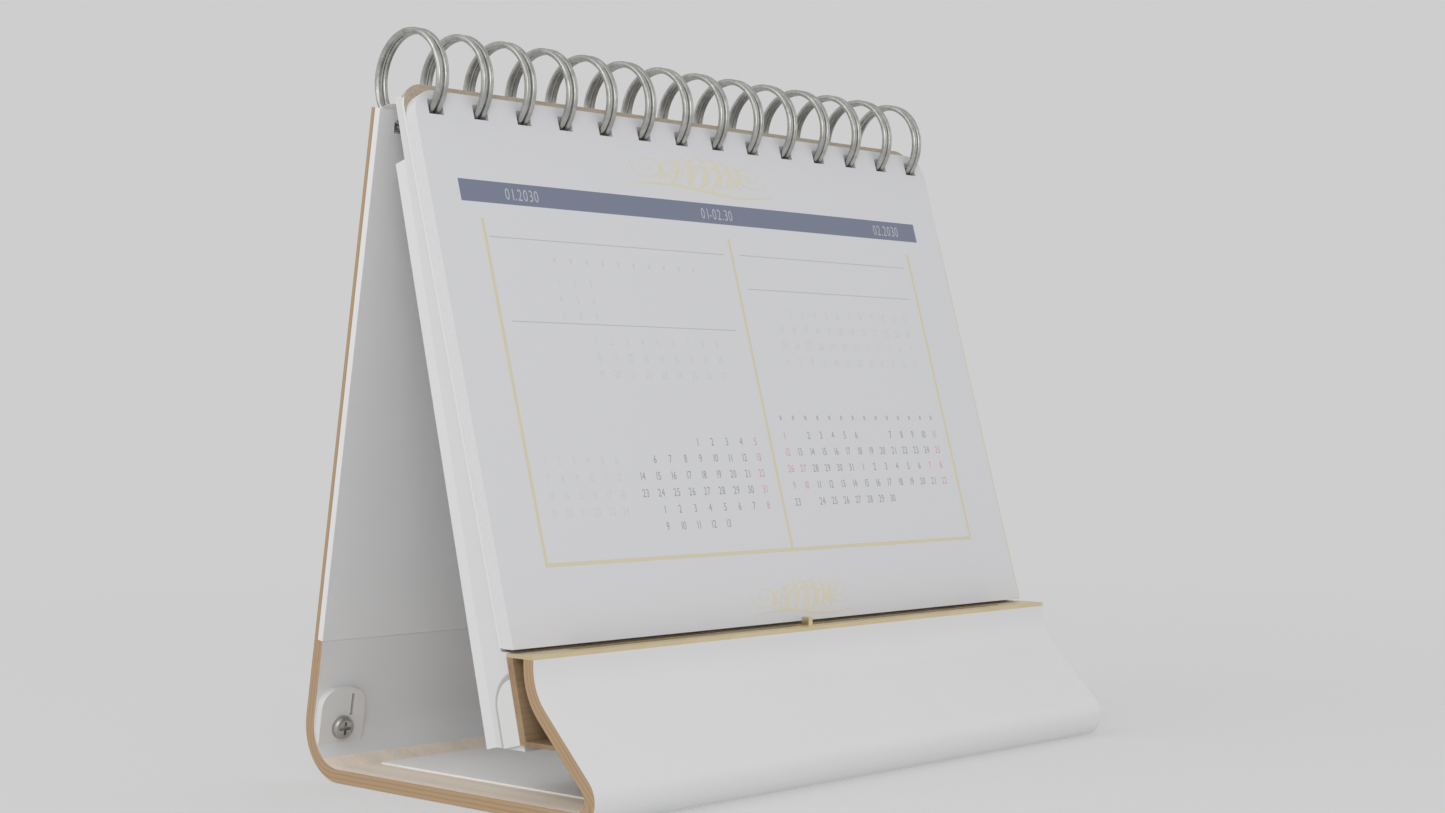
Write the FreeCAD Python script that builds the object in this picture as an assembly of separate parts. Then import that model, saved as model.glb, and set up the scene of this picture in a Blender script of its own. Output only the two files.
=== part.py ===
"""Flip desk calendar: a bent-plywood easel with a leaning pad on a twin-loop wire.

Millimetres, +Z up, the front faces -Y and the width runs along X. The origin is on the
ground under the centre of the stand. Side outlines are drawn in the YZ plane.
"""
import FreeCAD
import Part
import math
import os

from FreeCAD import Vector

# ---- driving sizes ----
STAND_WIDTH = 178.0
STAND_DEPTH = 95.6
STAND_HEIGHT = 150.0
PLY = 3.0
BACK_TILT = 10.0
REAR_BEND_R = 12.0
FRONT_BEND_R = 5.5
LIP_RISE = 45.0
LIP_BEND_R = 12.0
LIP_HEIGHT = 32.4
LIP_FACE_SETBACK = 18.2

LINER_T = 1.8
LINER_BOTTOM = 31.5
LINER_GAP = 0.05
MAT_T = 0.4
MAT_INSET = 12.0
MAT_END_GAP = 0.3

LOOP_PITCH = 12.7
LOOP_R = 10.8
WIRE_D = 1.4
STRAND_GAP = 0.4
LOOP_RISE = 6.1
LOOP_SETBACK = 5.7

LEAF_COUNT = 12
LEAF_T = 0.25
LEAF_GAP = 0.03
LEAF_MARGIN = 0.6
CARD_MARGIN = 0.6
LEAF_HOLE_MARGIN = 4.0
LEAF_CORNER_R = 6.0
CARD_T = 0.8
CARD_RISE = 2.7
PAD_OFFSET = 6.2
PAD_FOOT_SETBACK = 0.4

PANEL_BOTTOM = 13.4
PANEL_FOOT_T = 10.7
PANEL_TOP_T = 2.2
PANEL_WALL = 1.6
PANEL_SIDE_MARGIN = 1.0
POCKET_TOP = 30.0
COVER_PLATE_T = 3.2
COVER_PLATE_DROP = 14.0

CHANNEL_W = 3.4
CHANNEL_WALL_T = 1.8
CHANNEL_FLOOR_T = 0.9
WALL_BOTTOM = 14.8
LEDGE_T = 0.9
LEDGE_SLOT_W = 2.8
LEDGE_SLOT_END = 14.0
DIVIDER_W = 1.4
DIVIDER_PROUD = 1.8
DIVIDER_SETBACK = 1.2

HOLE_CLEARANCE_X = 0.45
HOLE_CLEARANCE_R = 0.7
SPINE_CLEARANCE = 0.1
FLIP_CLEARANCE = 0.15
PAD_CLEARANCE = 0.6

BRACKET_T = 2.0
BRACKET_TOP = 21.0
BRACKET_W = 12.0
BRACKET_MARGIN = 0.4
BRACKET_CORNER_R = 4.5
SLIT_W = 0.7
SLIT_L = 5.0
SLIT_OFFSET = 2.4
SCREW_D = 3.0
SCREW_HEAD_D = 5.4
SCREW_HEAD_T = 1.5
SCREW_RECESS_W = 0.7
SCREW_RECESS_L = 3.0
SCREW_RECESS_DEPTH = 0.9
SCREW_Z = 11.2
SCREW_LENGTH = 4.2
CLIP_T = 0.8
CLIP_W = 5.5
CLIP_TOP = 28.0

# ---- worked out from them ----
HALF_X = STAND_WIDTH / 2
REAR_Y = STAND_DEPTH / 2
FRONT_Y = -REAR_Y
WIRE_R = WIRE_D / 2
TWIN_W = 2 * WIRE_D + STRAND_GAP
HOLE_W = TWIN_W + 2 * HOLE_CLEARANCE_X
HOLE_BAND = WIRE_R + HOLE_CLEARANCE_R
LEAF_W = STAND_WIDTH - 2 * LEAF_MARGIN
PANEL_W = STAND_WIDTH - 2 * PANEL_SIDE_MARGIN
LOOP_PAIRS = int((LEAF_W + LOOP_PITCH - TWIN_W) / (2 * LOOP_PITCH))
LOOP_COUNT = 2 * LOOP_PAIRS
LOOP_X = [(i - (LOOP_COUNT - 1) / 2) * LOOP_PITCH for i in range(LOOP_COUNT)]


def yz(y, z):
    """A point of a side outline."""
    return Vector(0, y, z)


def direction(degrees):
    """A unit vector in the YZ plane, turned up from +Y."""
    return yz(math.cos(math.radians(degrees)), math.sin(math.radians(degrees)))


def level(point, heading, z):
    """Where a line of the side view reaches height z."""
    return point + heading * ((z - point.z) / heading.z)


def crossing(point, heading, origin, other):
    """Where two lines of the side view meet, each a point and a heading."""
    gap = origin - point
    across = heading.y * other.z - heading.z * other.y
    return point + heading * ((gap.y * other.z - gap.z * other.y) / across)


# the bent strip's outer line
BACK_ANGLE = 90 + BACK_TILT
BACK_UP = direction(BACK_ANGLE)
BACK_OUT = direction(BACK_TILT)
REAR_CENTRE = yz(REAR_Y - REAR_BEND_R, REAR_BEND_R)
BACK_START = REAR_CENTRE + BACK_OUT * REAR_BEND_R
BACK_TOP = level(BACK_START, BACK_UP, STAND_HEIGHT)
FRONT_CENTRE = yz(FRONT_Y + FRONT_BEND_R, FRONT_BEND_R)
RISE = direction(LIP_RISE)
RISE_OUT = direction(LIP_RISE + 90)
RISE_START = FRONT_CENTRE + RISE_OUT * FRONT_BEND_R
LIP_FACE_Y = FRONT_Y + LIP_FACE_SETBACK
LIP_CORNER = crossing(RISE_START, RISE, yz(LIP_FACE_Y, 0), yz(0, 1))
LIP_TANGENT = LIP_BEND_R * math.tan(math.radians((90 - LIP_RISE) / 2))
LIP_BEND_END = LIP_CORNER + yz(0, LIP_TANGENT)
LIP_BEND_CENTRE = LIP_BEND_END - yz(LIP_BEND_R, 0)

# the loops stand over the tops of the boards
LOOP_CENTRE = BACK_TOP + yz(-LOOP_SETBACK, LOOP_RISE)

# the channel behind the lip and the ledge on top of it
CHANNEL_FRONT = yz(LIP_FACE_Y + PLY, LIP_HEIGHT)
CHANNEL_REAR = CHANNEL_FRONT + yz(CHANNEL_W, 0)
LEDGE_TOP = LIP_HEIGHT + LEDGE_T

# the pad's front plane passes in front of the loops' centre and lands on the ledge
PAD_FOOT = yz(CHANNEL_REAR.y + PAD_FOOT_SETBACK, LEDGE_TOP + PAD_CLEARANCE)
FOOT_TO_LOOP = LOOP_CENTRE - PAD_FOOT
PAD_ANGLE = math.degrees(
    math.atan2(FOOT_TO_LOOP.z, FOOT_TO_LOOP.y) + math.asin(PAD_OFFSET / FOOT_TO_LOOP.Length)
)
PAD_UP = direction(PAD_ANGLE)
PAD_FRONT = direction(PAD_ANGLE + 90)
LEAF_PITCH = LEAF_T + LEAF_GAP
CARD_OFFSET = PAD_OFFSET - LEAF_COUNT * LEAF_PITCH
BOARD_OFFSET = CARD_OFFSET - CARD_T - LEAF_GAP

# the first leaf's hole is where its middle plane meets the wire
LEAF_OFFSET = PAD_OFFSET - LEAF_T / 2
LEAF_DROP = math.sqrt(LOOP_R**2 - LEAF_OFFSET**2)
PAD_TOP_RISE = LEAF_HOLE_MARGIN - LEAF_DROP

# the cover leaf hangs on the wire behind the back board
BACK_OFFSET = (BACK_TOP - LOOP_CENTRE).dot(BACK_OUT)
COVER_OFFSET = BACK_OFFSET + FLIP_CLEARANCE + LEAF_T / 2
COVER_DROP = math.sqrt(LOOP_R**2 - COVER_OFFSET**2)

# the front panel's rear plane
PAD_TOP = LOOP_CENTRE + PAD_UP * PAD_TOP_RISE
PANEL_REAR_FOOT = CHANNEL_REAR + yz(PANEL_FOOT_T, 0)
PANEL_REAR_TOP = PAD_TOP + PAD_FRONT * (BOARD_OFFSET - PANEL_TOP_T)
PANEL_SLOPE = PANEL_REAR_TOP - PANEL_REAR_FOOT
PANEL_ANGLE = math.degrees(math.atan2(PANEL_SLOPE.z, PANEL_SLOPE.y))
PANEL_UP = direction(PANEL_ANGLE)
PANEL_BEHIND = direction(PANEL_ANGLE - 90)
WALL_REAR = CHANNEL_REAR + PANEL_BEHIND * CHANNEL_WALL_T


# ---- solids ----
def extrude(outline, width, x=0.0):
    """A closed side outline, of points or of edges, made into a solid of this width about x."""
    if isinstance(outline[0], Vector):
        wire = Part.makePolygon(outline + [outline[0]])
    else:
        wire = Part.Wire(outline)
    wire.translate(Vector(x - width / 2, 0, 0))
    return Part.Face(wire).extrude(Vector(width, 0, 0))


def line(start, end):
    """A straight edge."""
    return Part.makeLine(start, end)


def arc(centre, radius, start, end):
    """An arc of the side view between two angles."""
    points = [centre + direction(a) * radius for a in (start, (start + end) / 2, end)]
    return Part.Arc(*points).toShape()


def box(x_size, y_size, z_size, centre):
    """A box about its centre."""
    solid = Part.makeBox(x_size, y_size, z_size)
    solid.translate(centre - Vector(x_size, y_size, z_size) * 0.5)
    return solid


def cylinder(radius, start, end):
    """A round bar from start to end."""
    return Part.makeCylinder(radius, (end - start).Length, start, end - start)


def plate(width, height, thickness, corner_r, angle, foot):
    """A flat sheet that rises from foot at this angle, with round top corners.

    Its thickness goes to the side that the angle turns to, and foot is on its other face.
    """
    side = width / 2
    turn = height - corner_r
    half = math.sqrt(0.5)
    corners = []
    for hand in (1, -1):
        centre = Vector(hand * (side - corner_r), turn, 0)
        start = centre + Vector(hand * corner_r, 0, 0)
        middle = centre + Vector(hand * corner_r * half, corner_r * half, 0)
        corners.append((start, middle, centre + Vector(0, corner_r, 0)))
    right, left = corners
    edges = [
        line(Vector(-side, 0, 0), Vector(side, 0, 0)),
        line(Vector(side, 0, 0), right[0]),
        Part.Arc(*right).toShape(),
        line(right[2], left[2]),
        Part.Arc(*reversed(left)).toShape(),
        line(left[0], Vector(-side, 0, 0)),
    ]
    solid = Part.Face(Part.Wire(edges)).extrude(Vector(0, 0, thickness))
    solid.rotate(Vector(0, 0, 0), Vector(1, 0, 0), angle)
    solid.translate(foot)
    return solid


def wire_tunnels():
    """The curved holes that let every twin loop through, as one cutting shape."""
    tunnels = []
    for x in LOOP_X:
        start = LOOP_CENTRE + Vector(x - HOLE_W / 2, 0, 0)
        end = LOOP_CENTRE + Vector(x + HOLE_W / 2, 0, 0)
        outer = cylinder(LOOP_R + HOLE_BAND, start, end)
        tunnels.append(outer.cut(cylinder(LOOP_R - HOLE_BAND, start, end)))
    return Part.makeCompound(tunnels)


def stand_outline():
    """The whole bent strip: back, rear bend, base, front bend and lip."""
    back_inner = BACK_TOP - BACK_OUT * PLY
    back_foot = BACK_START - BACK_OUT * PLY
    rise_inner = RISE_START - RISE_OUT * PLY
    bend_in = LIP_BEND_CENTRE + direction(LIP_RISE - 90) * LIP_BEND_R
    bend_in_rear = LIP_BEND_CENTRE + direction(LIP_RISE - 90) * (LIP_BEND_R + PLY)
    bend_out_rear = LIP_BEND_CENTRE + yz(LIP_BEND_R + PLY, 0)
    lip_top = yz(LIP_FACE_Y, LIP_HEIGHT)
    floor_front = yz(FRONT_CENTRE.y, 0)
    floor_rear = yz(REAR_CENTRE.y, 0)
    return [
        line(BACK_TOP, BACK_START),
        arc(REAR_CENTRE, REAR_BEND_R, BACK_TILT, -90),
        line(floor_rear, floor_front),
        arc(FRONT_CENTRE, FRONT_BEND_R, 270, LIP_RISE + 90),
        line(RISE_START, bend_in),
        arc(LIP_BEND_CENTRE, LIP_BEND_R, LIP_RISE - 90, 0),
        line(LIP_BEND_END, lip_top),
        line(lip_top, CHANNEL_FRONT),
        line(CHANNEL_FRONT, bend_out_rear),
        arc(LIP_BEND_CENTRE, LIP_BEND_R + PLY, 0, LIP_RISE - 90),
        line(bend_in_rear, rise_inner),
        arc(FRONT_CENTRE, FRONT_BEND_R - PLY, LIP_RISE + 90, 270),
        line(floor_front + yz(0, PLY), floor_rear + yz(0, PLY)),
        arc(REAR_CENTRE, REAR_BEND_R - PLY, -90, BACK_TILT),
        line(back_foot, back_inner),
        line(back_inner, BACK_TOP),
    ]


def liner_plate(bottom, margin=0.0):
    """The flat space on the inside of the back board above this height."""
    thin_face = BACK_START - BACK_OUT * (PLY - LINER_T)
    foot = level(thin_face, BACK_UP, bottom)
    top = BACK_TOP - BACK_OUT * (PLY - LINER_T) + BACK_UP * margin
    inward = BACK_OUT * (LINER_T + margin)
    return extrude([foot, top, top - inward, foot - inward], STAND_WIDTH + 2 * margin)


def screw_seats():
    """Where each bracket screw's head sits on its bracket, left and right."""
    face = BACK_START - BACK_OUT * (PLY + BRACKET_T)
    seat = level(face, BACK_UP, SCREW_Z)
    middle = HALF_X - BRACKET_MARGIN - BRACKET_W / 2
    return [seat + Vector(hand * middle, 0, 0) for hand in (-1, 1)]


def screw_shank(seat, start=0.0):
    """A screw's shank, from this far in front of its seat into the board."""
    return cylinder(SCREW_D / 2, seat - BACK_OUT * start, seat + BACK_OUT * SCREW_LENGTH)


def stand_shell(tunnels):
    """The bent plywood strip."""
    solid = extrude(stand_outline(), STAND_WIDTH)
    solid = solid.cut(liner_plate(LINER_BOTTOM, 1.0)).cut(tunnels)
    for seat in screw_seats():
        solid = solid.cut(screw_shank(seat))
    return solid


def base_mat():
    """A thin white sheet on top of the base."""
    front = FRONT_CENTRE.y + MAT_END_GAP
    rear = REAR_CENTRE.y - MAT_END_GAP
    width = STAND_WIDTH - 2 * MAT_INSET
    outline = [yz(front, PLY), yz(rear, PLY), yz(rear, PLY + MAT_T), yz(front, PLY + MAT_T)]
    return extrude(outline, width)


def pad_sheet(width, offset, thickness, rise=0.0):
    """A sheet of the pad, whose front face lies this far in front of the loops' centre."""
    rear_face = LOOP_CENTRE + PAD_FRONT * (offset - thickness)
    foot = level(rear_face, PAD_UP, PAD_FOOT.z)
    top = rear_face + PAD_UP * (PAD_TOP_RISE + rise)
    height = (top - foot).Length
    return plate(width, height, thickness, LEAF_CORNER_R, PAD_ANGLE, foot)


def cover_leaf():
    """The leaf that has been turned over to hang behind the back board."""
    top_rise = LEAF_HOLE_MARGIN - COVER_DROP
    near_face = LOOP_CENTRE + BACK_OUT * (COVER_OFFSET + LEAF_T / 2)
    height = (PAD_TOP - PAD_FOOT).Length
    foot = near_face + BACK_UP * (top_rise - height)
    return plate(LEAF_W, height, LEAF_T, LEAF_CORNER_R, BACK_ANGLE, foot)


def front_panel_shell(tunnels):
    """The wedge behind the pad, hollow from its rear side."""
    board = LOOP_CENTRE + PAD_FRONT * BOARD_OFFSET
    outline = [
        level(WALL_REAR, PANEL_UP, PANEL_BOTTOM),
        level(WALL_REAR, PANEL_UP, LEDGE_TOP),
        level(board, PAD_UP, LEDGE_TOP),
        PAD_TOP + PAD_FRONT * BOARD_OFFSET,
        PANEL_REAR_TOP,
        level(PANEL_REAR_FOOT, PANEL_UP, PANEL_BOTTOM),
    ]
    inside = board - PAD_FRONT * PANEL_WALL
    inside_foot = WALL_REAR + PANEL_BEHIND * PANEL_WALL
    outside = PANEL_REAR_FOOT + PANEL_BEHIND
    low = PANEL_BOTTOM + PANEL_WALL
    shelf = LEDGE_TOP - PANEL_WALL
    high = PAD_TOP.z - POCKET_TOP
    pocket = [
        level(outside, PANEL_UP, low),
        level(inside_foot, PANEL_UP, low),
        level(inside_foot, PANEL_UP, shelf),
        level(inside, PAD_UP, shelf),
        level(inside, PAD_UP, high),
        level(outside, PANEL_UP, high),
    ]
    hollow = extrude(pocket, PANEL_W - 2 * PANEL_WALL)
    return extrude(outline, PANEL_W).cut(hollow).cut(tunnels)


def front_panel_back():
    """The flat plate that closes the wedge's rear side below the loops."""
    foot = level(PANEL_REAR_FOOT, PANEL_UP, PANEL_BOTTOM)
    top = PANEL_REAR_TOP - PANEL_UP * COVER_PLATE_DROP
    depth = PANEL_BEHIND * COVER_PLATE_T
    return extrude([foot, top, top + depth, foot + depth], PANEL_W)


def channel_wall():
    """The wooden wall behind the channel, which the front panel is fixed to."""
    foot = level(CHANNEL_REAR, PANEL_UP, WALL_BOTTOM)
    rear_foot = level(WALL_REAR, PANEL_UP, WALL_BOTTOM)
    rear_top = level(WALL_REAR, PANEL_UP, LIP_HEIGHT)
    return extrude([foot, CHANNEL_REAR, rear_top, rear_foot], STAND_WIDTH)


def channel_floor():
    """The wooden strip between the wall's foot and the inside of the lip."""
    lip = RISE_START - RISE_OUT * PLY
    top = WALL_BOTTOM + CHANNEL_FLOOR_T
    outline = [
        level(lip, RISE, WALL_BOTTOM),
        level(lip, RISE, top),
        level(CHANNEL_REAR, PANEL_UP, top),
        level(CHANNEL_REAR, PANEL_UP, WALL_BOTTOM),
    ]
    return extrude(outline, STAND_WIDTH)


def ledge_box(front, rear, bottom, top, width, x=0.0):
    """A box across the ledge."""
    return extrude([yz(front, bottom), yz(rear, bottom), yz(rear, top), yz(front, top)], width, x)


def slotted_ledge():
    """The brass cap over the channel, with a long card slot each side of the middle."""
    rear = level(WALL_REAR, PANEL_UP, LIP_HEIGHT).y
    solid = ledge_box(LIP_FACE_Y, rear, LIP_HEIGHT, LEDGE_TOP, STAND_WIDTH)
    middle = CHANNEL_FRONT.y + CHANNEL_W / 2
    slot_length = HALF_X - LEDGE_SLOT_END - DIVIDER_W / 2
    centre = (slot_length + DIVIDER_W) / 2
    for x in (-centre, centre):
        front, back = middle - LEDGE_SLOT_W / 2, middle + LEDGE_SLOT_W / 2
        slot = ledge_box(front, back, LIP_HEIGHT - 1, LEDGE_TOP + 1, slot_length, x)
        solid = solid.cut(slot)
    return solid


def ledge_divider():
    """The small stop on the ledge between the two slots, in front of the pad's foot."""
    rear = CHANNEL_REAR.y - DIVIDER_SETBACK
    return ledge_box(CHANNEL_FRONT.y, rear, LEDGE_TOP, LEDGE_TOP + DIVIDER_PROUD, DIVIDER_W)


def corner_bracket(hand):
    """A flat-faced gusset that fills the rear bend, with round upper corners and a slit."""
    middle = hand * (HALF_X - BRACKET_MARGIN - BRACKET_W / 2)
    back = BACK_START - BACK_OUT * PLY
    face = back - BACK_OUT * BRACKET_T
    inner_r = REAR_BEND_R - PLY
    meet = -math.degrees(math.acos(1 - BRACKET_T / inner_r)) + BACK_TILT
    foot_of_face = REAR_CENTRE + direction(meet) * inner_r
    edges = [
        line(level(back, BACK_UP, BRACKET_TOP), back),
        arc(REAR_CENTRE, inner_r, BACK_TILT, meet),
        line(foot_of_face, level(face, BACK_UP, BRACKET_TOP)),
        line(level(face, BACK_UP, BRACKET_TOP), level(back, BACK_UP, BRACKET_TOP)),
    ]
    solid = extrude(edges, BRACKET_W, middle)
    reach = 2 * REAR_BEND_R
    foot = level(BACK_START, BACK_UP, -reach) + Vector(middle, 0, 0)
    height = (level(BACK_START, BACK_UP, BRACKET_TOP) - level(BACK_START, BACK_UP, -reach)).Length
    solid = solid.common(plate(BRACKET_W, height, reach, BRACKET_CORNER_R, BACK_ANGLE, foot))
    slit_x = middle - hand * SLIT_OFFSET
    top = BRACKET_TOP - BRACKET_CORNER_R / 2
    slit = [yz(FRONT_Y, top - SLIT_L), yz(REAR_Y, top - SLIT_L), yz(REAR_Y, top), yz(FRONT_Y, top)]
    solid = solid.cut(extrude(slit, SLIT_W, slit_x))
    for seat in screw_seats():
        solid = solid.cut(screw_shank(seat, BRACKET_T))
    return solid


def bracket_screws():
    """Two pan-head screws with cross recesses."""
    screws = []
    for seat in screw_seats():
        head_top = seat - BACK_OUT * SCREW_HEAD_T
        head = cylinder(SCREW_HEAD_D / 2, seat, head_top)
        rim = min(head.Edges, key=lambda e: e.BoundBox.Center.distanceToPoint(head_top))
        head = head.makeFillet(SCREW_HEAD_T * 0.6, [rim])
        for turn in (0, 90):
            blade = box(SCREW_RECESS_W, SCREW_RECESS_L, 2 * SCREW_RECESS_DEPTH, Vector(0, 0, 0))
            blade.rotate(Vector(0, 0, 0), Vector(0, 0, 1), turn)
            blade.rotate(Vector(0, 0, 0), Vector(1, 0, 0), BACK_ANGLE)
            blade.translate(head_top)
            head = head.cut(blade)
        screws.append(head.fuse(screw_shank(seat)))
    return screws


def foot_clip(hand):
    """A thin cheek that ties the front panel's end to the channel wall."""
    low = level(WALL_REAR, PANEL_UP, WALL_BOTTOM)
    top = level(WALL_REAR, PANEL_UP, CLIP_TOP)
    behind = PANEL_BEHIND * CLIP_W
    turn = top - PANEL_UP * CLIP_W
    quarter = turn + direction(PANEL_ANGLE - 45) * CLIP_W
    edges = [
        line(low, top),
        Part.Arc(top, quarter, turn + behind).toShape(),
        line(turn + behind, low + behind),
        line(low + behind, low),
    ]
    return extrude(edges, CLIP_T, hand * (PANEL_W / 2 + CLIP_T / 2))


def twin_loop(x):
    """One closed loop of two strands, joined by a short bridge at its lowest point."""
    strands = []
    for hand in (-1, 1):
        centre = LOOP_CENTRE + Vector(x + hand * (WIRE_D + STRAND_GAP) / 2, 0, 0)
        strands.append(Part.makeTorus(LOOP_R, WIRE_R, centre, Vector(1, 0, 0)))
    bridge_at = LOOP_CENTRE + Vector(x, 0, -LOOP_R)
    half = Vector((WIRE_D + STRAND_GAP) / 2, 0, 0)
    bridge = cylinder(WIRE_R * 0.8, bridge_at - half, bridge_at + half)
    return strands[0].fuse(strands[1]).fuse(bridge)


def wire_spine():
    """The straight lengths of wire between the loops, resting on the front panel's rear face."""
    reach = (LOOP_CENTRE - PANEL_REAR_TOP).dot(PANEL_BEHIND)
    lean = math.degrees(math.acos((WIRE_R - reach) / LOOP_R))
    at = LOOP_CENTRE + direction(PANEL_ANGLE - 90 - lean) * LOOP_R
    gap = TWIN_W / 2 + SPINE_CLEARANCE
    bars = []
    for left, right in zip(LOOP_X, LOOP_X[1:]):
        bars.append(cylinder(WIRE_R, at + Vector(left + gap, 0, 0), at + Vector(right - gap, 0, 0)))
    return bars


def main():
    """Write every node."""
    os.makedirs("parts", exist_ok=True)
    tunnels = wire_tunnels()
    save("stand_shell", stand_shell(tunnels))
    save("back_liner", liner_plate(LINER_BOTTOM + LINER_GAP).cut(tunnels))
    save("base_mat", base_mat())
    save("front_panel_shell", front_panel_shell(tunnels))
    save("front_panel_back", front_panel_back())
    save("channel_wall", channel_wall())
    save("channel_floor", channel_floor())
    save("slotted_ledge", slotted_ledge())
    save("ledge_divider", ledge_divider())
    for name, hand in (("left", -1), ("right", 1)):
        save("corner_bracket_" + name, corner_bracket(hand))
        save("foot_clip_" + name, foot_clip(hand))
    save("bracket_screws", Part.makeCompound(bracket_screws()))
    save("wire_spine", Part.makeCompound(wire_spine()))
    loops = [twin_loop(x) for x in LOOP_X]
    save("twin_loops_odd", Part.makeCompound(loops[0::2]))
    save("twin_loops_even", Part.makeCompound(loops[1::2]))
    for number in range(LEAF_COUNT):
        leaf = pad_sheet(LEAF_W, PAD_OFFSET - number * LEAF_PITCH, LEAF_T)
        save("leaf_%02d" % (number + 1), leaf.cut(tunnels))
    card_w = STAND_WIDTH - 2 * CARD_MARGIN
    card = pad_sheet(card_w, CARD_OFFSET, CARD_T, CARD_RISE)
    save("backing_card", card.cut(tunnels))
    save("cover_leaf", cover_leaf().cut(tunnels))


def save(name, shape):
    """Write one node."""
    shape.exportStep("parts/" + name + ".step")


if __name__ == "__main__":
    main()
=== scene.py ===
import math

import bmesh
import bpy
from mathutils import Matrix, Vector


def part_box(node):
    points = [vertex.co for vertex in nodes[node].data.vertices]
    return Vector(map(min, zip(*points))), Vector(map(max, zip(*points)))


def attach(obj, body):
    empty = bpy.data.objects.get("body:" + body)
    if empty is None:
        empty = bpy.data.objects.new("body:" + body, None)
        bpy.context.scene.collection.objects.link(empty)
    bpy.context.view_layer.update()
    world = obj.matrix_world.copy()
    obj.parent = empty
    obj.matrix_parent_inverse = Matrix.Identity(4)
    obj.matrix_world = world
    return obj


MM = 0.001

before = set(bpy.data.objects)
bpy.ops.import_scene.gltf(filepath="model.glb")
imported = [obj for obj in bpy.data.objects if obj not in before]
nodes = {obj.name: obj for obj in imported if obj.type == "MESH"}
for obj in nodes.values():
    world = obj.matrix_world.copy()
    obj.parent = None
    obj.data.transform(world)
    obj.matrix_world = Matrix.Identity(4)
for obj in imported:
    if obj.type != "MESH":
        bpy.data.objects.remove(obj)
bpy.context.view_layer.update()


# ---- places, from the frame ----
def face_frame(node, facing):
    """A sheet's face on one side: its matrix from (across, up, out), with the bottom centre at 0."""
    mesh = nodes[node].data
    front = [p for p in mesh.polygons if p.normal.y * facing > 0.5]
    normal = max(front, key=lambda p: p.area).normal
    up = normal.cross(Vector((1, 0, 0))) * -facing
    reach = max(v.co.dot(normal) for v in mesh.vertices)
    low = min(v.co.dot(up) for v in mesh.vertices if v.co.dot(normal) > reach - 0.01 * MM)
    across = up.cross(normal)
    origin = normal * reach + up * low
    return Matrix.Translation(origin) @ Matrix((across, up, normal)).transposed().to_4x4()


# ---- node-graph helper ----
SURFACE_IOR = 1.45


class Shader:
    """A material being built: short names for the nodes it needs."""

    def __init__(self, name, roughness, metallic=0.0):
        self.material = bpy.data.materials.new(name)
        self.material.use_nodes = True
        self.tree = self.material.node_tree
        self.surface = self.tree.nodes["Principled BSDF"]
        self.surface.inputs["Metallic"].default_value = metallic
        self.surface.inputs["Roughness"].default_value = roughness
        self.surface.inputs["IOR"].default_value = SURFACE_IOR
        self.place = self.tree.nodes.new("ShaderNodeTexCoord")

    def plug(self, value, socket):
        """A socket takes a link from another socket, or a fixed value."""
        if isinstance(value, bpy.types.NodeSocket):
            self.tree.links.new(value, socket)
        elif isinstance(value, tuple) and len(value) == 3 and len(socket.default_value) == 4:
            socket.default_value = (*value, 1.0)
        else:
            socket.default_value = value

    def math(self, operation, *values):
        node = self.tree.nodes.new("ShaderNodeMath")
        node.operation = operation
        for socket, value in zip(node.inputs, values):
            self.plug(value, socket)
        return node.outputs[0]

    def vector(self, operation, a, b=(0, 0, 0)):
        node = self.tree.nodes.new("ShaderNodeVectorMath")
        node.operation = operation
        self.plug(a, node.inputs[0])
        self.plug(b, node.inputs[1])
        return node.outputs["Value" if operation in ("DOT_PRODUCT", "LENGTH", "DISTANCE") else "Vector"]

    def parts(self, value):
        """A vector's X, Y and Z outputs."""
        node = self.tree.nodes.new("ShaderNodeSeparateXYZ")
        self.plug(value, node.inputs[0])
        return node.outputs

    def base_colour(self):
        """The socket that now feeds the surface's colour."""
        return self.surface.inputs["Base Color"].links[0].from_socket

    def noise(self, size, detail, roughness=0.5):
        """Noise whose features are size metres along each axis."""
        scale = tuple(1 / s for s in (size if isinstance(size, tuple) else (size,) * 3))
        node = self.tree.nodes.new("ShaderNodeTexNoise")
        node.inputs["Scale"].default_value = 1.0
        node.inputs["Detail"].default_value = detail
        node.inputs["Roughness"].default_value = roughness
        place = self.vector("MULTIPLY", self.place.outputs["Object"], scale)
        self.tree.links.new(place, node.inputs["Vector"])
        return node.outputs["Fac"]

    def ramp(self, value, *stops):
        """Colours by position along value."""
        node = self.tree.nodes.new("ShaderNodeValToRGB")
        elements = node.color_ramp.elements
        while len(elements) < len(stops):
            elements.new(0.5)
        for element, (position, colour) in zip(elements, stops):
            element.position = position
            element.color = (*colour, 1.0) if isinstance(colour, tuple) else (colour,) * 3 + (1.0,)
        self.plug(value, node.inputs["Fac"])
        return node.outputs["Color"]

    def mix(self, factor, a, b):
        node = self.tree.nodes.new("ShaderNodeMix")
        node.data_type = "RGBA"
        self.plug(factor, node.inputs["Factor"])
        self.plug(a, node.inputs[6])
        self.plug(b, node.inputs[7])
        return node.outputs[2]

    def spread(self, value, low, high):
        """A 0 to 1 value mapped to a range."""
        node = self.tree.nodes.new("ShaderNodeMapRange")
        self.plug(value, node.inputs["Value"])
        node.inputs["To Min"].default_value = low
        node.inputs["To Max"].default_value = high
        return node.outputs["Result"]

    def colour(self, value):
        self.plug(value, self.surface.inputs["Base Color"])

    def rough(self, value):
        self.plug(value, self.surface.inputs["Roughness"])

    def bump(self, height, distance, strength):
        node = self.tree.nodes.new("ShaderNodeBump")
        node.inputs["Strength"].default_value = strength
        node.inputs["Distance"].default_value = distance
        self.plug(height, node.inputs["Height"])
        self.tree.links.new(node.outputs["Normal"], self.surface.inputs["Normal"])


def scaled(colour, factor):
    """A lighter or darker colour."""
    return tuple(c * factor for c in colour)


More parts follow.
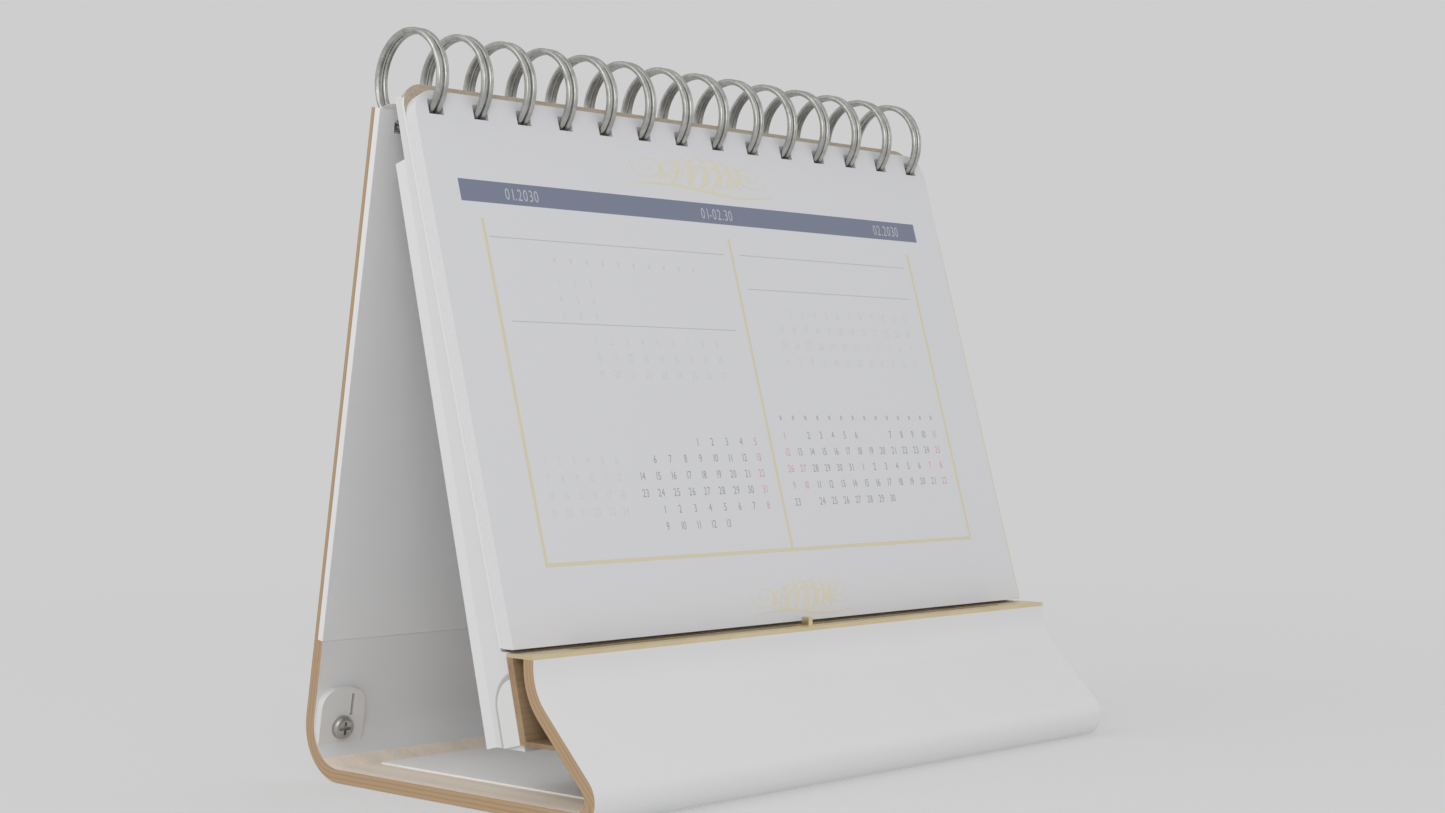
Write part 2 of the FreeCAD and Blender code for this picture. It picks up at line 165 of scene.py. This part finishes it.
# ---- materials ----
WHITE = (0.80, 0.80, 0.805)
PLY_TAN = (0.465, 0.315, 0.183)
PLY_DARK = (0.345, 0.215, 0.122)
# The bare wood's tan on the base top, lifted well above the wood's own tone: painted light for the shade
# it lies in.
BASE_TAN_PAINTED_LIGHT = (0.95, 0.83, 0.70)
PAPER_WHITE = (0.755, 0.757, 0.778)
EDGE_WHITE = (0.79, 0.79, 0.79)
STEEL_GREY = (0.57, 0.57, 0.545)


def lacquer(name, base=WHITE, roughness=0.42):
    """Sprayed white lacquer: faint mottling and orange peel."""
    s = Shader(name, roughness)
    cloud = s.noise(0.03, 4)
    s.colour(s.mix(cloud, scaled(base, 0.965), base))
    s.rough(s.spread(s.noise(0.006, 3), roughness - 0.06, roughness + 0.08))
    s.bump(s.noise(0.0016, 2), 0.00002, 0.35)
    return s


def grain(s, along, light, dark):
    """Wood grain that runs along one axis: 0 is X, 1 is Y."""
    fine = [0.0006] * 3
    fine[along] = 0.03
    broad = [0.004] * 3
    broad[along] = 0.12
    streaks = s.math("MULTIPLY", s.noise(tuple(fine), 5, 0.65), s.noise(tuple(broad), 3))
    return s.ramp(streaks, (0.12, dark), (0.3, light), (0.5, scaled(light, 1.08)))


REAR_BEND_R, FRONT_BEND_R, LIP_BEND_R = 12 * MM, 5.5 * MM, 12 * MM
BACK_TILT, LIP_RISE = math.radians(10), math.radians(45)
LIP_SETBACK, LIP_LOWEST = 18.2 * MM, 12 * MM
VENEER = 1.0 * MM


def bent_depth(s):
    """How deep a point of the bent strip lies below its outer face, found from the strip's own arcs."""
    place = s.place.outputs["Object"]
    lo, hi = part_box("stand_shell")
    rear_r, front_r, lip_r = REAR_BEND_R, FRONT_BEND_R, LIP_BEND_R
    tilt, rise = BACK_TILT, LIP_RISE
    rear = (0, hi[1] - rear_r, rear_r)
    front = (0, lo[1] + front_r, front_r)
    corner = LIP_SETBACK + front_r * math.sqrt(2)
    lip = (0, lo[1] + LIP_SETBACK - lip_r, corner + lip_r * math.tan(rise / 2))

    def reach(centre, a, b):
        """How far a point lies from this centre, counting only these two directions."""
        offset = s.vector("SUBTRACT", place, centre)
        sides = [s.math("MAXIMUM", s.vector("DOT_PRODUCT", offset, d), 0.0) for d in (a, b)]
        squares = [s.math("MULTIPLY", side, side) for side in sides]
        return s.math("SQRT", s.math("ADD", *squares))

    def choose(condition, yes, no):
        """yes where the condition is 1, no where it is 0."""
        other = s.math("MULTIPLY", s.math("SUBTRACT", 1.0, condition), no)
        return s.math("ADD", s.math("MULTIPLY", condition, yes), other)

    down = (0, 0, -1)
    rear_depth = s.math("SUBTRACT", rear_r, reach(rear, (0, math.cos(tilt), math.sin(tilt)), down))
    front_depth = s.math("SUBTRACT", front_r, reach(front, (0, -math.sin(rise), math.cos(rise)), down))
    lip_depth = s.math("SUBTRACT", reach(lip, (0, 1, 0), down), lip_r)
    up_the_rise = (0, math.cos(rise), math.sin(rise))
    past_bend = s.vector("DOT_PRODUCT", s.vector("SUBTRACT", place, lip), up_the_rise)
    at = s.parts(place)
    raised = s.math("GREATER_THAN", at["Z"], LIP_LOWEST)
    on_lip = s.math("MULTIPLY", raised, s.math("GREATER_THAN", past_bend, 0.0))
    front_half = choose(on_lip, lip_depth, front_depth)
    return choose(s.math("LESS_THAN", at["Y"], 0.0), front_half, rear_depth)


def ply_edge_colour(s, depth):
    """Thin plies of lighter and darker wood, a little uneven."""
    wobble = s.math("MULTIPLY", s.math("SUBTRACT", s.noise(0.008, 2), 0.5), 0.0004)
    layer = s.math("FRACT", s.math("DIVIDE", s.math("ADD", depth, wobble), VENEER))
    bands = s.ramp(layer, (0.0, PLY_DARK), (0.18, PLY_TAN), (0.55, scaled(PLY_TAN, 1.12)),
                   (0.85, PLY_TAN), (1.0, PLY_DARK))
    return s.mix(s.spread(s.noise(0.0012, 4, 0.7), 0.0, 0.55), bands, PLY_TAN)


BACK_TOP_REGION = 140 * MM
BARE_BELOW = 5.2 * MM


def white_ply():
    """The bent strip: white faces, bare plies on its ends and top edge, bare wood on the base's top."""
    s = lacquer("white_lacquered_ply")
    white = s.base_colour()
    face = s.parts(s.place.outputs["Normal"])
    at = s.parts(s.place.outputs["Object"])
    end_face = s.math("GREATER_THAN", s.math("ABSOLUTE", face["X"]), 0.5)
    top_edge = s.math("MULTIPLY", s.math("GREATER_THAN", face["Z"], 0.8),
                      s.math("GREATER_THAN", at["Z"], BACK_TOP_REGION))
    edge = s.math("MAXIMUM", end_face, top_edge)
    wobble = s.math("MULTIPLY", s.noise(0.01, 2), 0.5 * MM)
    low = s.math("LESS_THAN", s.math("ADD", at["Z"], wobble), BARE_BELOW)
    upward = s.math("GREATER_THAN", face["Z"], 0.25)
    bare = s.math("MULTIPLY", low, upward)
    # Bare wood on the base's top, its tan lifted as painted light.
    wood = grain(s, 1, BASE_TAN_PAINTED_LIGHT, scaled(BASE_TAN_PAINTED_LIGHT, 0.87))
    s.colour(s.mix(edge, s.mix(bare, white, wood), ply_edge_colour(s, bent_depth(s))))
    return s.material


def bare_ply(name, tone):
    """Unpainted wood with its grain along X, darkened by tone."""
    s = Shader(name, 0.6)
    s.colour(grain(s, 0, scaled(PLY_TAN, tone), scaled(PLY_DARK, tone)))
    s.bump(s.noise((0.03, 0.0006, 0.0006), 4), 0.00005, 0.4)
    return s.material


def end_faces(s):
    """1 on the left and right end faces, 0 elsewhere."""
    across = s.parts(s.place.outputs["Normal"])["X"]
    return s.math("GREATER_THAN", s.math("ABSOLUTE", across), 0.9)


CLIP_WIDTH, CLIP_SHADE_REACH = 5.5 * MM, 2.0 * MM
PANEL_TILT = math.radians(13.84)
CLIP_SHADE = (0.46, 0.465, 0.44)


def white_panel_painted_shade():
    """White board, with a painted shadow line on its ends along the outline of the foot clips."""
    # The board's white is set darker than the stand's: painted shade, to offset the light falling on its
    # ends.
    s = lacquer("white_panel_painted_shade", (0.745, 0.745, 0.745), 0.5)
    white = s.base_colour()
    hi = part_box("foot_clip_left")[1]
    lean, stand = math.sin(PANEL_TILT), math.cos(PANEL_TILT)
    turn = (0, hi[1] - CLIP_WIDTH, hi[2] - CLIP_WIDTH * stand)
    offset = s.vector("SUBTRACT", s.place.outputs["Object"], turn)
    behind = s.vector("DOT_PRODUCT", offset, (0, stand, -lean))
    above = s.math("MAXIMUM", s.vector("DOT_PRODUCT", offset, (0, lean, stand)), 0.0)
    squares = s.math("ADD", s.math("MULTIPLY", behind, behind), s.math("MULTIPLY", above, above))
    beyond = s.math("SUBTRACT", s.math("SQRT", squares), CLIP_WIDTH)
    share = s.math("DIVIDE", beyond, CLIP_SHADE_REACH)
    # A painted shadow line on the end faces, just outside the clip's outline.
    line = s.ramp(share, (0.0, 0.0), (0.02, 1.0), (0.6, 0.9), (0.85, 0.0))
    s.colour(s.mix(s.math("MULTIPLY", end_faces(s), line), white, CLIP_SHADE))
    return s.material


def paper():
    """Uncoated paper: fibres and a hint of tooth, brighter on its cut ends."""
    s = Shader("paper", 0.75)
    fibres = s.noise((0.0012, 0.0003, 0.0004), 4, 0.6)
    face = s.mix(fibres, scaled(PAPER_WHITE, 0.985), PAPER_WHITE)
    s.colour(s.mix(end_faces(s), face, EDGE_WHITE))
    s.bump(s.noise(0.0003, 3), 0.00001, 0.3)
    return s.material


def ink(name, base, mottle=0.88, roughness=0.55):
    """Printed ink, a little uneven where the paper shows through."""
    s = Shader(name, roughness)
    s.colour(s.mix(s.noise(0.0007, 4, 0.6), scaled(base, mottle), base))
    return s.material


def card():
    """Tan board, white on its end faces."""
    s = Shader("tan_card", 0.8)
    specks = s.ramp(s.noise(0.0005, 4, 0.7), (0.3, (0.42, 0.34, 0.25)), (0.7, (0.62, 0.54, 0.43)))
    s.colour(s.mix(end_faces(s), specks, EDGE_WHITE))
    s.bump(s.noise(0.0008, 3), 0.00004, 0.5)
    return s.material


def brass():
    """Satin brass with long fine brush lines."""
    s = Shader("ledge_brass", 0.34, metallic=1.0)
    lines = s.noise((0.04, 0.0002, 0.0002), 4, 0.6)
    s.colour(s.mix(s.noise(0.01, 3), (0.70, 0.58, 0.36), (0.86, 0.74, 0.50)))
    s.rough(s.spread(lines, 0.26, 0.46))
    s.bump(lines, 0.00001, 0.3)
    return s.material


def steel(name):
    """Plated wire: soft lengthwise streaks and slightly dull patches."""
    s = Shader(name, 0.32, metallic=1.0)
    s.colour(s.mix(s.noise(0.0022, 4, 0.65), scaled(STEEL_GREY, 0.42), scaled(STEEL_GREY, 1.3)))
    s.rough(s.spread(s.noise(0.0015, 3), 0.22, 0.48))
    s.bump(s.noise(0.0009, 2), 0.00002, 0.3)
    return s.material


def paint(material, *names):
    """Give CAD nodes this material."""
    for name in names:
        mesh = nodes[name].data
        mesh.materials.clear()
        mesh.materials.append(material)


paint(white_ply(), "stand_shell")
# The liner's white is lighter than the stand's: painted light, to brighten the shaded inside of the
# stand.
paint(lacquer("white_liner_painted_light", (0.84, 0.84, 0.845)).material, "back_liner")
# The mat's white is lighter than the stand's: painted light, to brighten the shaded top of the base.
paint(lacquer("white_mat_painted_light", (0.93, 0.925, 0.91), 0.6).material, "base_mat")
paint(white_panel_painted_shade(), "front_panel_shell")
paint(lacquer("grey_panel_back", (0.79, 0.79, 0.795), 0.6).material, "front_panel_back")
paint(bare_ply("channel_ply", 0.85), "channel_wall")
paint(bare_ply("channel_floor_ply", 0.7), "channel_floor")
paint(brass(), "slotted_ledge", "ledge_divider")
paint(lacquer("white_plastic", (0.76, 0.755, 0.75), 0.35).material,
      "corner_bracket_left", "corner_bracket_right", "foot_clip_left", "foot_clip_right")
paint(steel("screw_steel"), "bracket_screws")
paint(steel("wire_steel"), "wire_spine", "twin_loops_odd", "twin_loops_even")
paint(card(), "backing_card")
paint(paper(), "cover_leaf", *["leaf_%02d" % i for i in range(1, 13)])


# ---- print on the leaves ----
INK_HEIGHT = 0.015 * MM
LIFT = 0.001 * MM   # between one pen line and the next, so that they can cross
BAR_BLUE = ink("bar_blue", (0.222, 0.25, 0.342))
BAR_TEXT = ink("bar_numbers", (0.56, 0.58, 0.63))
GOLD_LINE = ink("gold_line", (0.745, 0.69, 0.51), 0.94, 0.4)
GOLD_FAINT = ink("gold_flourish", (0.79, 0.74, 0.56), 0.95, 0.4)
RULE_GREY = ink("rule_grey", (0.58, 0.59, 0.62), 0.93)
DIGIT_DARK = ink("digit_dark", (0.42, 0.42, 0.43), 0.85)
DIGIT_RED = ink("digit_red", (0.74, 0.42, 0.46), 0.9)
DIGIT_MID = ink("digit_mid", (0.56, 0.56, 0.58), 0.9)
DIGIT_FAINT = ink("digit_faint", (0.69, 0.695, 0.72), 0.97)
OVERPRINTS = (BAR_TEXT.name,)   # printed on top of another ink


class Print:
    """Flat printed shapes on one sheet's face, gathered into one piece per ink."""

    def __init__(self, name, body, face):
        self.name = name
        self.body = body
        self.face = face
        self.inks = {}
        self.lifts = 0

    def shape(self, material, vertices, faces):
        """Add vertices, each (across, up) and perhaps a small lift, and the faces between them."""
        points, polygons = self.inks.setdefault(material.name, (material, [], []))[1:]
        start = len(points)
        points.extend([(*v, 0.0)[:3] for v in vertices])
        polygons.extend([tuple(start + i for i in f) for f in faces])

    def rectangle(self, material, x, y, width, height):
        corners = [(x, y), (x + width, y), (x + width, y + height), (x, y + height)]
        self.shape(material, corners, [(0, 1, 2, 3)])

    def ribbon(self, material, points, widths):
        """A line of changing width through these points, rising a little so that it can cross itself."""
        sides = []
        for i, point in enumerate(points):
            ahead = Vector(points[min(i + 1, len(points) - 1)]) - Vector(points[max(i - 1, 0)])
            across = Vector((-ahead.y, ahead.x)).normalized() * widths[i] / 2
            lift = (self.lifts + i / len(points)) * LIFT
            sides.append((*(Vector(point) + across), lift))
            sides.append((*(Vector(point) - across), lift))
        faces = [(2 * i, 2 * i + 1, 2 * i + 3, 2 * i + 2) for i in range(len(points) - 1)]
        self.shape(material, sides, faces)
        self.lifts += 1

    def number(self, material, text, x, y, height):
        """Digits centred at x with their feet at y."""
        glyphs = [digit_glyph(c) for c in text]
        width = sum(g[2] for g in glyphs) * height
        left = x - width / 2
        for vertices, faces, advance in glyphs:
            moved = [(left + vx * height, y + vy * height) for vx, vy in vertices]
            self.shape(material, moved, faces)
            left += advance * height

    def finish(self):
        """Turn each ink into a thin closed piece that rides with the sheet."""
        for material, points, polygons in self.inks.values():
            mesh = bpy.data.meshes.new(self.name + "_" + material.name)
            mesh.from_pydata(points, [], polygons)
            work = bmesh.new()
            work.from_mesh(mesh)
            bmesh.ops.recalc_face_normals(work, faces=work.faces)
            for f in work.faces:
                if f.normal.z < 0:
                    f.normal_flip()
            made = bmesh.ops.extrude_face_region(work, geom=work.faces[:])
            raised = [v for v in made["geom"] if isinstance(v, bmesh.types.BMVert)]
            bmesh.ops.translate(work, vec=(0, 0, INK_HEIGHT), verts=raised)
            if material.name in OVERPRINTS:
                bmesh.ops.translate(work, vec=(0, 0, INK_HEIGHT), verts=work.verts[:])
            bmesh.ops.recalc_face_normals(work, faces=work.faces)
            work.to_mesh(mesh)
            work.free()
            mesh.transform(self.face)
            mesh.materials.append(material)
            piece = bpy.data.objects.new(mesh.name, mesh)
            bpy.context.collection.objects.link(piece)
            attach(piece, self.body)


GLYPHS = {}
DIGIT_TALL = 0.71     # height of a digit in the built-in font, whose em is 1
DIGIT_NARROW = 0.72   # how far the digits are squeezed
DIGIT_GAP = 0.12      # between digits, in digit heights


def digit_glyph(character):
    """A digit's outline as a mesh one unit high: vertices, faces and advance."""
    if character not in GLYPHS:
        curve = bpy.data.curves.new("glyph", "FONT")
        curve.body = character
        curve.resolution_u = 3
        thing = bpy.data.objects.new("glyph", curve)
        bpy.context.collection.objects.link(thing)
        bpy.context.view_layer.update()
        evaluated = thing.evaluated_get(bpy.context.evaluated_depsgraph_get())
        mesh = bpy.data.meshes.new_from_object(evaluated)
        vertices = [(DIGIT_NARROW * v.co.x / DIGIT_TALL, v.co.y / DIGIT_TALL) for v in mesh.vertices]
        width = max(v[0] for v in vertices)
        GLYPHS[character] = (vertices, [tuple(p.vertices) for p in mesh.polygons], width + DIGIT_GAP)
        bpy.data.objects.remove(thing)
        bpy.data.meshes.remove(mesh)
        bpy.data.curves.remove(curve)
    return GLYPHS[character]


DAY_HEIGHT = 1.9 * MM
MARK_WIDTH, MARK_HEIGHT = 0.7 * MM, 1.1 * MM
THIN_STROKE = 0.35   # the pen's thinnest line, as a share of its nib


def day_row(page, material, columns, x, up, pitch, first, red=()):
    """One row of running numbers, in these columns to the right of x."""
    for i, column in enumerate(columns):
        tone = DIGIT_RED if column in red else material
        page.number(tone, str((first + i - 1) % 31 + 1), x + column * pitch, up, DAY_HEIGHT)


def day_block(page, material, x, top, pitch, drop, rows):
    """Rows of numbers under each other: the columns of each row and the red ones among them."""
    first = 1
    for i, (columns, red) in enumerate(rows):
        day_row(page, material, columns, x, top - i * drop, pitch, first, red)
        first += len(columns)


def marks(page, material, x, up, pitch, count):
    """A row of small square marks, as column heads."""
    for i in range(count):
        page.rectangle(material, x + i * pitch - MARK_WIDTH / 2, up, MARK_WIDTH, MARK_HEIGHT)


def pen(page, material, path, nib):
    """A pen line through these points: thick where it runs down, thin where it runs up."""
    widths = []
    for i in range(len(path)):
        ahead = Vector(path[min(i + 1, len(path) - 1)]) - Vector(path[max(i - 1, 0)])
        widths.append(nib * (THIN_STROKE + (1 - THIN_STROKE) * max(0.0, -ahead.normalized().y)))
    page.ribbon(material, path, widths)


def coil(page, material, x, y, length, height, loops, lean):
    """A row of leaning loops that swell and shrink about (x, y)."""
    path = []
    steps = 30 * loops
    for i in range(steps + 1):
        t = i / steps
        reach = height / 2 * (0.35 + 0.65 * math.sin(math.pi * t))
        turn = 2 * math.pi * loops * t
        up = reach * math.cos(turn)
        path.append((x + (t - 0.5) * length + 0.75 * reach * math.sin(turn) + lean * up, y + up))
    pen(page, material, path, 0.11 * height)


def curl(page, material, x, y, radius, turns, start, hand):
    """A flat spiral that opens as it turns."""
    path = []
    steps = int(30 * turns)
    for i in range(steps + 1):
        reach = radius * (0.15 + 0.85 * i / steps)
        angle = start + hand * 2 * math.pi * turns * i / steps
        path.append((x + 1.7 * reach * math.cos(angle), y + reach * math.sin(angle)))
    pen(page, material, path, 0.16 * radius)


def flourish(page, material, x, y, length, height):
    """A scroll ornament centred at x with its foot at y: two coils woven together between curls."""
    middle = y + height / 2
    coil(page, material, x, middle, 0.62 * length, 0.95 * height, 7, 0.5)
    coil(page, material, x + 0.03 * length, middle - 0.04 * height, 0.5 * length, 0.6 * height, 5, 0.3)
    for hand in (-1, 1):
        outer, inner = x + hand * 0.36 * length, x + hand * 0.24 * length
        curl(page, material, outer, middle + 0.08 * height, 0.4 * height, 1.6, 1.2 + hand, hand)
        curl(page, material, inner, y + 0.2 * height, 0.22 * height, 1.3, 2.0, -hand)
    shares = [i / 40 for i in range(41)]
    line = [(x + (t - 0.5) * length, y + 0.1 * height * math.sin(2 * math.pi * t)) for t in shares]
    page.ribbon(material, line, [height * (0.02 + 0.06 * math.sin(math.pi * t)) for t in shares])


# A leaf's layout, from the middle of its bottom edge.
BAR_LEFT, BAR_RIGHT = -80 * MM, 78.4 * MM
BAR_LOW, BAR_HIGH = 98.5 * MM, 103.6 * MM
FRAME_LEFT, FRAME_MIDDLE, FRAME_RIGHT = -75.0 * MM, 3.3 * MM, 72.9 * MM
FRAME_LOW, FRAME_HIGH, FRAME_LINE = 17.1 * MM, 94.4 * MM, 0.85 * MM
PAGE_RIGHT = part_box("leaf_01")[1][0]
EDGE_HIGHLIGHT_LINE, RULE_LINE = 0.3 * MM, 0.2 * MM

# Thin rules, in mm: left end, right end, height.
RULES = ((-74, 0.5, 90.5), (-72, -0.8, 71.2), (6.1, 70.1, 90.7), (6.6, 69.3, 82))

# The columns of each row of numbers, and the red ones among them.
NINE = tuple(range(9))
FULL = tuple(range(14))
LEFT_BLOCK = [(NINE[4:], (8,)), (NINE[1:], (8,)), (NINE, (8,)),
              (NINE, (8,)), (NINE[1:], (8,)), (NINE[1:6], ())]
RIGHT_BLOCK = [((0,) + FULL[2:7] + FULL[9:], (0, 13)), (FULL, (0, 13)), (FULL, (0, 1, 12, 13)),
               (FULL, (0, 1, 13)), ((0,) + FULL[2:9], ())]

# Blocks of numbers: ink, then left, top, column pitch and row drop in mm, and the rows.
BLOCKS = (
    (DIGIT_DARK, -41.6, 42.8, 4.95, 3.9, LEFT_BLOCK),
    (DIGIT_FAINT, -70, 38.9, 4.25, 3.9, [(NINE[:6], ())] * 4),
    (DIGIT_FAINT, -56, 80, 4.95, 3.9, [(NINE[:3], ())] * 3),
    (DIGIT_FAINT, -48, 66.6, 4.95, 3.9, [(NINE, ())] * 3),
    (DIGIT_DARK, 8.7, 44.15, 4.515, 4.13, RIGHT_BLOCK),
    (DIGIT_FAINT, 16, 75.4, 4.515, 4.13, [(FULL[:12], ())] * 4),
)

# Rows of column heads: ink, then left, height and pitch in mm, and how many.
HEADS = (
    (DIGIT_FAINT, -56, 85.5, 4.95, 10),
    (DIGIT_MID, 8.7, 48.95, 4.515, 14),
)


def month_page(name, body, face, numbers):
    """A leaf's print: blue bar, open gold frame, rules, blocks of numbers and ornaments."""
    page = Print(name, body, face)
    page.rectangle(BAR_BLUE, BAR_LEFT, BAR_LOW, BAR_RIGHT - BAR_LEFT, BAR_HIGH - BAR_LOW)
    for x in (FRAME_LEFT, FRAME_MIDDLE, FRAME_RIGHT):
        page.rectangle(GOLD_LINE, x - FRAME_LINE / 2, FRAME_LOW + FRAME_LINE / 2, FRAME_LINE,
                       FRAME_HIGH - FRAME_LOW)
    page.rectangle(GOLD_LINE, FRAME_LEFT - FRAME_LINE / 2, FRAME_LOW - FRAME_LINE / 2,
                   FRAME_RIGHT - FRAME_LEFT + FRAME_LINE, FRAME_LINE)
    for left, right, up in RULES:
        page.rectangle(RULE_GREY, left * MM, up * MM, (right - left) * MM, RULE_LINE)
    flourish(page, GOLD_FAINT, -2 * MM, 106.8 * MM, 50 * MM, 8.6 * MM)
    flourish(page, GOLD_FAINT, 3.5 * MM, 2.2 * MM, 36 * MM, 7.4 * MM)
    # A gold line printed along the right edge, standing in for the highlight on the leaf's edge: a
    # painted highlight.
    page.rectangle(GOLD_LINE, PAGE_RIGHT - 0.35 * MM, 0.4 * MM, EDGE_HIGHLIGHT_LINE, 100 * MM)
    for x, text in zip((-62, 1, 66), numbers):
        page.number(BAR_TEXT, text, x * MM, BAR_LOW + 1.1 * MM, 2.8 * MM)
    for material, left, top, pitch, drop, rows in BLOCKS:
        day_block(page, material, left * MM, top * MM, pitch * MM, drop * MM, rows)
    for material, left, up, pitch, count in HEADS:
        marks(page, material, left * MM, up * MM, pitch * MM, count)
    page.finish()


def cover_page():
    """The cover's print, on the face that shows when it is turned to the front."""
    page = Print("cover_print", "cover", face_frame("cover_leaf", -1))
    page.rectangle(BAR_BLUE, BAR_LEFT, 40 * MM, BAR_RIGHT - BAR_LEFT, 34 * MM)
    for up in (37.5, 75.5):
        page.rectangle(GOLD_LINE, BAR_LEFT, up * MM, BAR_RIGHT - BAR_LEFT, FRAME_LINE)
    page.number(BAR_TEXT, "2030", 0, 50 * MM, 14 * MM)
    flourish(page, GOLD_FAINT, 0, 88 * MM, 66 * MM, 11 * MM)
    flourish(page, GOLD_FAINT, 0, 16 * MM, 66 * MM, 11 * MM)
    page.finish()


month_page("leaf_01_print", "front_leaf", face_frame("leaf_01", -1), ("01.2030", "01-02.30", "02.2030"))
month_page("leaf_02_print", "root", face_frame("leaf_02", -1), ("03.2030", "03-04.30", "04.2030"))
cover_page()


# ---- floor, light and camera ----
BACKDROP = 0.617
FLOOR_HALF, FLOOR_FADED = 1.0, 0.8
HEADING, PITCH = math.radians(46.6), math.radians(0.3)
EYE = Vector((-384.4, -361.8, 81.6)) * MM
LENS = 54.36


def floor():
    """A pale floor that fades into the backdrop away from the object."""
    s = Shader("floor_pale", 0.9)
    s.colour((0.8, 0.8, 0.8))
    s.surface.inputs["Specular IOR Level"].default_value = 0.0
    away = s.vector("LENGTH", s.vector("MULTIPLY", s.place.outputs["Object"], (1, 1, 0)))
    fade = s.ramp(s.math("DIVIDE", away, FLOOR_FADED), (0.15, 0.6), (0.8, 1.0))
    clear = s.tree.nodes.new("ShaderNodeBsdfTransparent")
    both = s.tree.nodes.new("ShaderNodeMixShader")
    s.plug(fade, both.inputs[0])
    s.tree.links.new(s.surface.outputs[0], both.inputs[1])
    s.tree.links.new(clear.outputs[0], both.inputs[2])
    s.tree.links.new(both.outputs[0], s.tree.nodes["Material Output"].inputs["Surface"])
    mesh = bpy.data.meshes.new("floor")
    corners = [(x * FLOOR_HALF, y * FLOOR_HALF, 0) for x, y in ((-1, -1), (1, -1), (1, 1), (-1, 1))]
    mesh.from_pydata(corners, [], [(0, 1, 2, 3)])
    mesh.materials.append(s.material)
    plane = bpy.data.objects.new("floor", mesh)
    plane.location.z = -0.2 * MM
    bpy.context.collection.objects.link(plane)


def area_light(name, place, target, size, power):
    """A soft square light aimed at a point."""
    lamp = bpy.data.lights.new(name, "AREA")
    lamp.shape = "SQUARE"
    lamp.size = size
    lamp.energy = power
    thing = bpy.data.objects.new(name, lamp)
    thing.location = place
    thing.rotation_euler = (Vector(target) - Vector(place)).to_track_quat("-Z", "Y").to_euler()
    bpy.context.collection.objects.link(thing)


def lights():
    world = bpy.data.worlds.new("studio")
    world.use_nodes = True
    background = world.node_tree.nodes["Background"]
    background.inputs["Color"].default_value = (BACKDROP, BACKDROP, BACKDROP, 1)
    background.inputs["Strength"].default_value = 1.0
    bpy.context.scene.world = world
    area_light("key", (-0.7, -0.7, 0.4), (0, 0, 0.06), size=0.5, power=1.7)
    area_light("fill", (0.9, -0.8, 0.5), (0, 0, 0.08), size=0.9, power=1.1)
    area_light("end", (-0.8, 0.15, 0.6), (0, 0, 0.04), size=0.7, power=1.7)


def camera():
    lens = bpy.data.cameras.new("camera")
    lens.lens = LENS
    lens.sensor_width = 36.0
    lens.clip_start = 0.01
    eye = bpy.data.objects.new("camera", lens)
    eye.location = EYE
    level = math.cos(PITCH)
    ahead = Vector((math.sin(HEADING) * level, math.cos(HEADING) * level, math.sin(PITCH)))
    eye.rotation_euler = ahead.to_track_quat("-Z", "Y").to_euler()
    bpy.context.collection.objects.link(eye)
    bpy.context.scene.camera = eye
    bpy.context.scene.view_settings.view_transform = "Standard"


floor()
lights()
camera()
